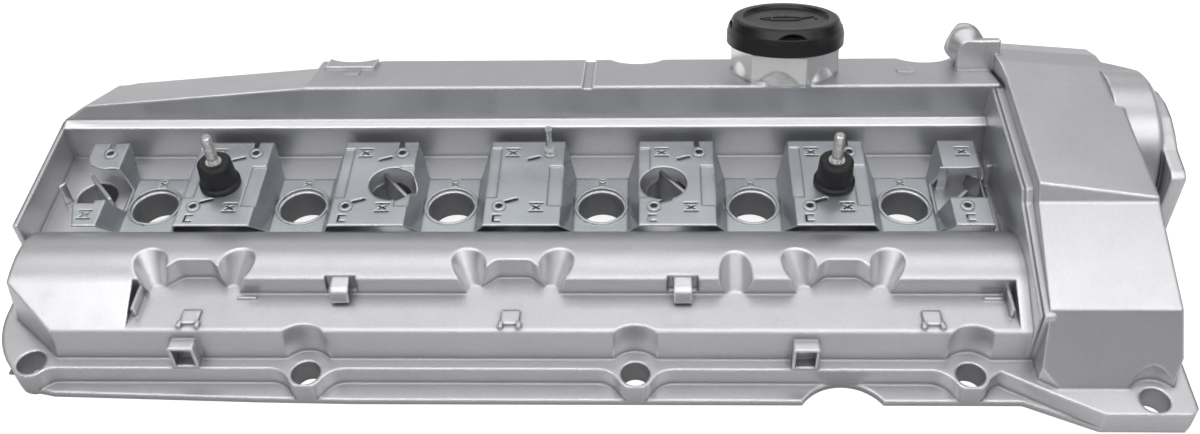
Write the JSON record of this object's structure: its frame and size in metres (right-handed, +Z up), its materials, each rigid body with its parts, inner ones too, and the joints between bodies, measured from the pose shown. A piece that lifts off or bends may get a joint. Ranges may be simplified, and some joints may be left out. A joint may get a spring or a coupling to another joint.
{
  "type": "engine valve cover",
  "caption": "Cast aluminium valve cover of an in-line engine with a pressed coil tray, rubber buffers, a breather pipe and a twist-on oil filler cap.",
  "frame": {"origin": "centre of the middle pair of cover bolts on the gasket face; the line through the plug wells is the x axis", "axes": "x along the engine towards the chain end, y across the engine towards the intake side, z up, away from the gasket face"},
  "size_m": [0.6808, 0.2779, 0.1132],
  "materials": {
    "silver_paint": "fine silver paint over a cast aluminium surface, satin",
    "galvanised_steel": "bright zinc coated sheet, slightly uneven",
    "zinc_steel": "zinc plated turned steel",
    "black_rubber": "moulded rubber, half matt",
    "black_plastic": "fine grained black plastic, satin"
  },
  "bodies": {
    "cover": {"cover_casting": "silver_paint", "coil_tray": "galvanised_steel", "coil_bushes": "galvanised_steel", "buffer_left": "black_rubber", "buffer_right": "black_rubber", "buffer_stud_left": "zinc_steel", "buffer_stud_right": "zinc_steel", "buffer_foot_stud_left": "zinc_steel", "buffer_foot_stud_right": "zinc_steel", "buffer_nut_left": "zinc_steel", "buffer_nut_right": "zinc_steel", "earth_stud": "zinc_steel", "baffle_plate": "galvanised_steel", "baffle_screws": "zinc_steel"},
    "cap_carrier": {"cap_seal": "black_rubber"},
    "cap": {"cap_shell": "black_plastic", "cap_plug": "black_plastic"}
  },
  "joints": [
    {"name": "cap_rise", "type": "slide", "parent": "cover", "child": "cap_carrier", "axis": [0, 0.3584, 0.9336], "range_m": [0, 0.00201]},
    {"name": "cap_turn", "type": "hinge", "parent": "cap_carrier", "child": "cap", "pos_m": [0.09135, 0.08026, 0.06954], "axis": [0, 0.3584, 0.9336], "range_deg": [0, 75]}
  ],
  "couplings": [
    {"joint": "cap_rise", "follows": "cap_turn", "m_per_rad": 0.0015279}
  ]
}
